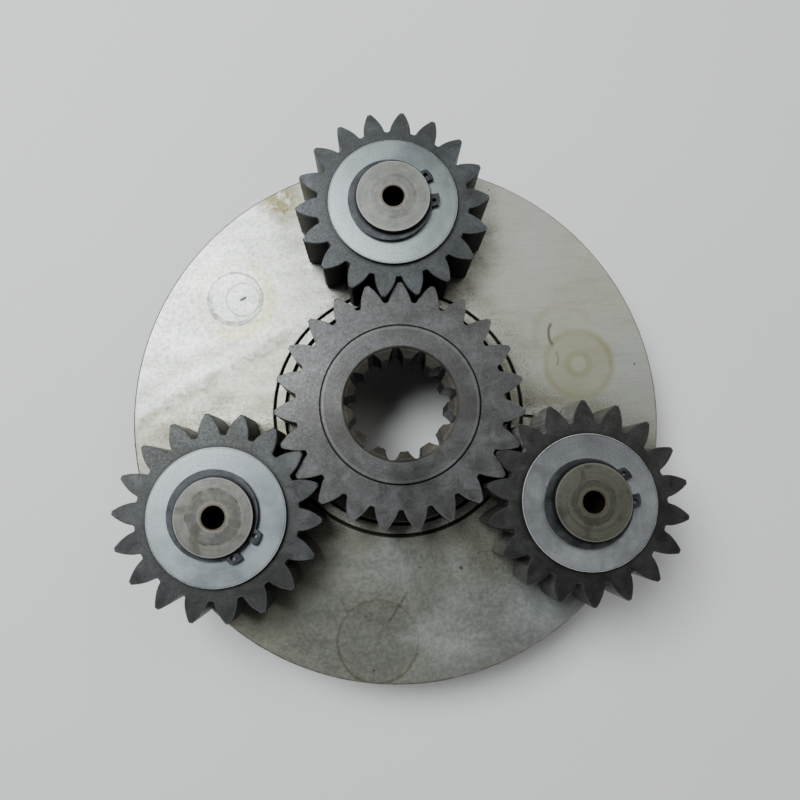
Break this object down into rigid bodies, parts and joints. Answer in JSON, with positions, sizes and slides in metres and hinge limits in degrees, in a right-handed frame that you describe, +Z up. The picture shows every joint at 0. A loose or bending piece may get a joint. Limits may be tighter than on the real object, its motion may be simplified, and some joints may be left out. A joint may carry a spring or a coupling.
{
  "type": "planetary gear set",
  "caption": "Planetary reduction stage: disc carrier with planet gears on pinned needle bearings round a splined sun gear, with an internally splined output hub.",
  "frame": {"origin": "on the main axis, at the lower end face of the output hub", "axes": "+Z up the main axis from the hub to the gears; +Y towards the planet marked a"},
  "size_m": [0.2268, 0.2362, 0.0638],
  "materials": {
    "ground_plate": "ground, stained",
    "turned_hub": "turned",
    "sun_steel": "case-hardened, matte",
    "planet_steel": "case-hardened, matte",
    "washer_steel": "satin",
    "pin_steel": "turned end face",
    "spring_steel": "phosphated",
    "cage_steel": "pressed",
    "roller_steel": "polished"
  },
  "bodies": {
    "carrier": {"carrier_plate": "ground_plate", "output_hub": "turned_hub", "planet_pin_a": "pin_steel", "planet_pin_b": "pin_steel", "planet_pin_c": "pin_steel", "retaining_ring_a": "spring_steel", "retaining_ring_b": "spring_steel", "retaining_ring_c": "spring_steel", "lock_pin_a": "spring_steel", "lock_pin_b": "spring_steel", "lock_pin_c": "spring_steel"},
    "sun": {"sun_gear": "sun_steel"},
    "sun_washer": {"sun_thrust_washer": "washer_steel"},
    "planet_a": {"planet_gear_a": "planet_steel"},
    "needles_a": {"needle_cage_a": "cage_steel", "needle_rollers_a": "roller_steel"},
    "upper_washer_a": {"upper_thrust_washer_a": "washer_steel"},
    "lower_washer_a": {"lower_thrust_washer_a": "washer_steel"},
    "planet_b": {"planet_gear_b": "planet_steel"},
    "needles_b": {"needle_cage_b": "cage_steel", "needle_rollers_b": "roller_steel"},
    "upper_washer_b": {"upper_thrust_washer_b": "washer_steel"},
    "lower_washer_b": {"lower_thrust_washer_b": "washer_steel"},
    "planet_c": {"planet_gear_c": "planet_steel"},
    "needles_c": {"needle_cage_c": "cage_steel", "needle_rollers_c": "roller_steel"},
    "upper_washer_c": {"upper_thrust_washer_c": "washer_steel"},
    "lower_washer_c": {"lower_thrust_washer_c": "washer_steel"}
  },
  "joints": [
    {"name": "sun_spin", "type": "hinge", "parent": "carrier", "child": "sun", "pos_m": [0, 0, 0.043], "axis": [0, 0, 1], "continuous": true},
    {"name": "sun_washer_spin", "type": "hinge", "parent": "carrier", "child": "sun_washer", "pos_m": [0, 0, 0.03], "axis": [0, 0, 1], "continuous": true},
    {"name": "planet_spin_a", "type": "hinge", "parent": "carrier", "child": "planet_a", "pos_m": [0, 0.083, 0.045], "axis": [0, 0, 1], "continuous": true},
    {"name": "needle_roll_a", "type": "hinge", "parent": "carrier", "child": "needles_a", "pos_m": [0, 0.083, 0.045], "axis": [0, 0, 1], "continuous": true},
    {"name": "upper_washer_spin_a", "type": "hinge", "parent": "carrier", "child": "upper_washer_a", "pos_m": [0, 0.083, 0.058], "axis": [0, 0, 1], "continuous": true},
    {"name": "lower_washer_spin_a", "type": "hinge", "parent": "carrier", "child": "lower_washer_a", "pos_m": [0, 0.083, 0.0325], "axis": [0, 0, 1], "continuous": true},
    {"name": "planet_spin_b", "type": "hinge", "parent": "carrier", "child": "planet_b", "pos_m": [-0.07188, -0.0415, 0.045], "axis": [0, 0, 1], "continuous": true},
    {"name": "needle_roll_b", "type": "hinge", "parent": "carrier", "child": "needles_b", "pos_m": [-0.07188, -0.0415, 0.045], "axis": [0, 0, 1], "continuous": true},
    {"name": "upper_washer_spin_b", "type": "hinge", "parent": "carrier", "child": "upper_washer_b", "pos_m": [-0.07188, -0.0415, 0.058], "axis": [0, 0, 1], "continuous": true},
    {"name": "lower_washer_spin_b", "type": "hinge", "parent": "carrier", "child": "lower_washer_b", "pos_m": [-0.07188, -0.0415, 0.0325], "axis": [0, 0, 1], "continuous": true},
    {"name": "planet_spin_c", "type": "hinge", "parent": "carrier", "child": "planet_c", "pos_m": [0.07188, -0.0415, 0.045], "axis": [0, 0, 1], "continuous": true},
    {"name": "needle_roll_c", "type": "hinge", "parent": "carrier", "child": "needles_c", "pos_m": [0.07188, -0.0415, 0.045], "axis": [0, 0, 1], "continuous": true},
    {"name": "upper_washer_spin_c", "type": "hinge", "parent": "carrier", "child": "upper_washer_c", "pos_m": [0.07188, -0.0415, 0.058], "axis": [0, 0, 1], "continuous": true},
    {"name": "lower_washer_spin_c", "type": "hinge", "parent": "carrier", "child": "lower_washer_c", "pos_m": [0.07188, -0.0415, 0.0325], "axis": [0, 0, 1], "continuous": true}
  ],
  "couplings": [
    {"joint": "planet_spin_a", "follows": "sun_spin", "ratio": -1.2778},
    {"joint": "needle_roll_a", "follows": "sun_spin", "ratio": -0.73068},
    {"joint": "planet_spin_b", "follows": "sun_spin", "ratio": -1.2778},
    {"joint": "needle_roll_b", "follows": "sun_spin", "ratio": -0.73068},
    {"joint": "planet_spin_c", "follows": "sun_spin", "ratio": -1.2778},
    {"joint": "needle_roll_c", "follows": "sun_spin", "ratio": -0.73068}
  ]
}
